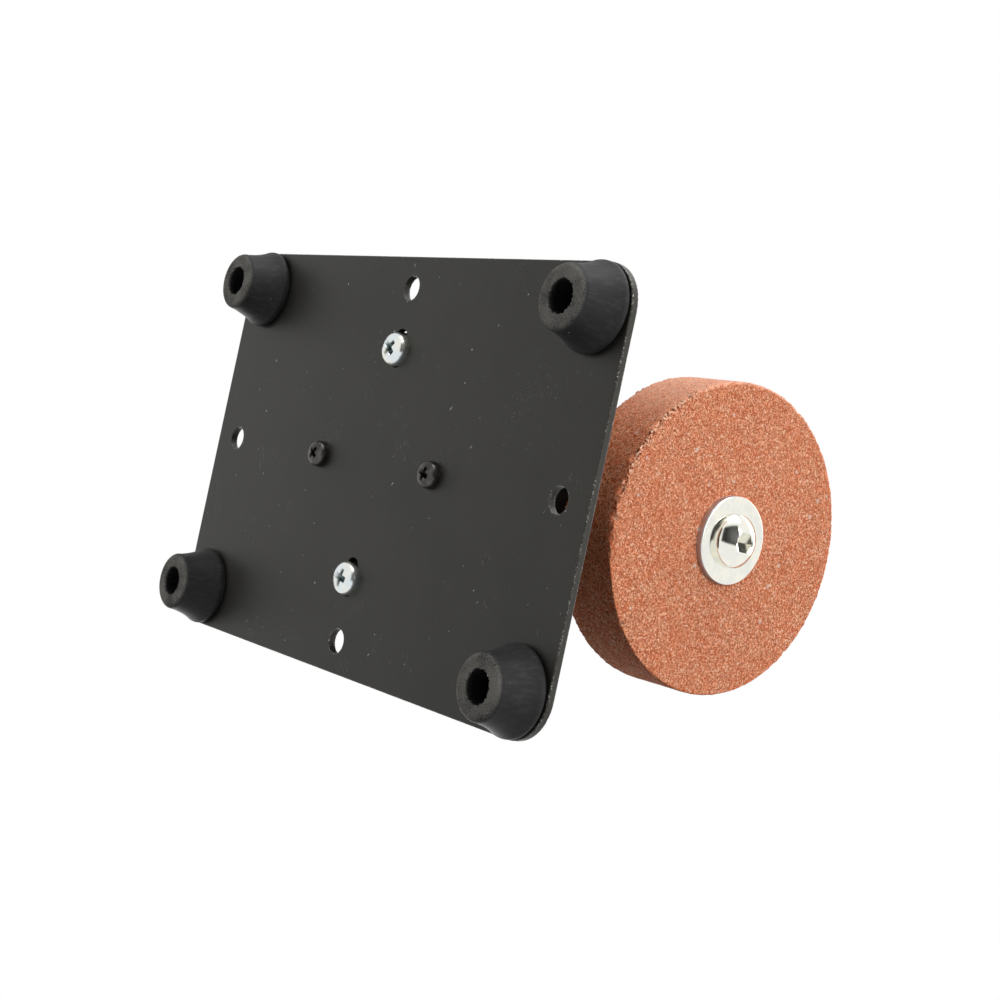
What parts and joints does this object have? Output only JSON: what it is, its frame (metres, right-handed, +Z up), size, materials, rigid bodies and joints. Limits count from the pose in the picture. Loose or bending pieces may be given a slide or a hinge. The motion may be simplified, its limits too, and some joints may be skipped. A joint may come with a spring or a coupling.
{
  "type": "wet grinding sharpener",
  "caption": "Small bench sharpener: an abrasive wheel on a geared motor, carried by a folded bracket on a black steel plate with rubber feet, with a switch and a speed knob.",
  "frame": {"origin": "on the bench under the middle of the base plate", "axes": "+X along the wheel's shaft towards its free face, +Z up, +Y to the switch's side"},
  "size_m": [0.15, 0.1, 0.1158],
  "materials": {
    "plate_paint": "satin black paint on sheet steel, scratched and dusty",
    "bracket_paint": "satin black paint on sheet steel",
    "foot_rubber": "moulded black rubber, dusty on the tips",
    "zinc_steel": "bright zinc plating",
    "black_steel": "black oxide",
    "bare_steel": "turned steel",
    "can_steel": "zinc plated deep-drawn steel",
    "cast_alloy": "cast and machined alloy",
    "box_plastic": "fine spark-eroded black",
    "knob_plastic": "matt black with a pale mark",
    "switch_plastic": "glossy black",
    "rocker_plastic": "glossy red",
    "cap_plastic": "glass-filled black",
    "board_laminate": "green solder resist",
    "capacitor_can": "sleeved can",
    "component_plastic": "moulded epoxy",
    "lead_red": "red insulation",
    "lead_black": "black insulation",
    "brass": "turned brass and bronze",
    "copper": "enamelled copper",
    "carbon": "pressed carbon",
    "ferrite": "sintered ferrite",
    "abrasive": "red-brown bonded abrasive, open grain"
  },
  "bodies": {
    "frame": {"base_plate": "plate_paint", "motor_bracket": "bracket_paint", "foot_front_left": "foot_rubber", "foot_front_right": "foot_rubber", "foot_rear_left": "foot_rubber", "foot_rear_right": "foot_rubber", "lead_grommet": "foot_rubber", "foot_washers": "zinc_steel", "foot_nuts": "zinc_steel", "bracket_screws": "zinc_steel", "bracket_nuts": "zinc_steel", "board_screws": "zinc_steel", "motor_screws": "zinc_steel", "gearbox_screws": "zinc_steel", "potentiometer_nut": "zinc_steel", "power_jack_nut": "zinc_steel", "foot_screws": "black_steel", "control_box_screws": "black_steel", "layshaft_pin": "bare_steel", "gearbox_rear_plate": "bare_steel", "potentiometer_body": "bare_steel", "motor_can": "can_steel", "gearbox_housing": "cast_alloy", "control_box": "box_plastic", "switch_housing": "switch_plastic", "power_jack": "switch_plastic", "motor_end_cap": "cap_plastic", "circuit_board": "board_laminate", "filter_capacitor": "capacitor_can", "power_transistor": "component_plastic", "motor_lead_positive": "lead_red", "motor_lead_negative": "lead_black", "motor_terminals": "brass", "motor_front_bush": "brass", "motor_rear_bush": "brass", "output_bush_front": "brass", "output_bush_rear": "brass", "motor_brushes": "carbon", "motor_magnets": "ferrite"},
    "spindle": {"output_shaft": "bare_steel", "output_gear": "bare_steel", "inner_flange": "bare_steel", "grinding_wheel": "abrasive", "outer_washer": "zinc_steel", "wheel_screw": "zinc_steel"},
    "layshaft": {"layshaft_gear": "bare_steel"},
    "rotor": {"motor_shaft": "bare_steel", "motor_pinion": "brass", "armature_core": "bare_steel", "armature_windings": "copper", "commutator": "copper"},
    "speed_control": {"speed_knob": "knob_plastic", "potentiometer_shaft": "cast_alloy"},
    "rocker": {"switch_rocker": "rocker_plastic"}
  },
  "joints": [
    {"name": "wheel_spin", "type": "hinge", "parent": "frame", "child": "spindle", "pos_m": [0.042, 0, 0.0783], "axis": [1, 0, 0], "continuous": true},
    {"name": "layshaft_spin", "type": "hinge", "parent": "frame", "child": "layshaft", "pos_m": [0.011, 0, 0.0883], "axis": [1, 0, 0], "continuous": true},
    {"name": "rotor_spin", "type": "hinge", "parent": "frame", "child": "rotor", "pos_m": [-0.02, 0, 0.0783], "axis": [1, 0, 0], "continuous": true},
    {"name": "speed_knob_turn", "type": "hinge", "parent": "frame", "child": "speed_control", "pos_m": [-0.0283, -0.0105, 0.0348], "axis": [-1, 0, 0], "range_deg": [-140, 140]},
    {"name": "rocker_press", "type": "hinge", "parent": "frame", "child": "rocker", "pos_m": [-0.0273, 0.0105, 0.0283], "axis": [0, 1, 0], "range_deg": [0, 24]}
  ],
  "couplings": [
    {"joint": "layshaft_spin", "follows": "wheel_spin", "ratio": -2.3333},
    {"joint": "rotor_spin", "follows": "wheel_spin", "ratio": 5.4444}
  ]
}
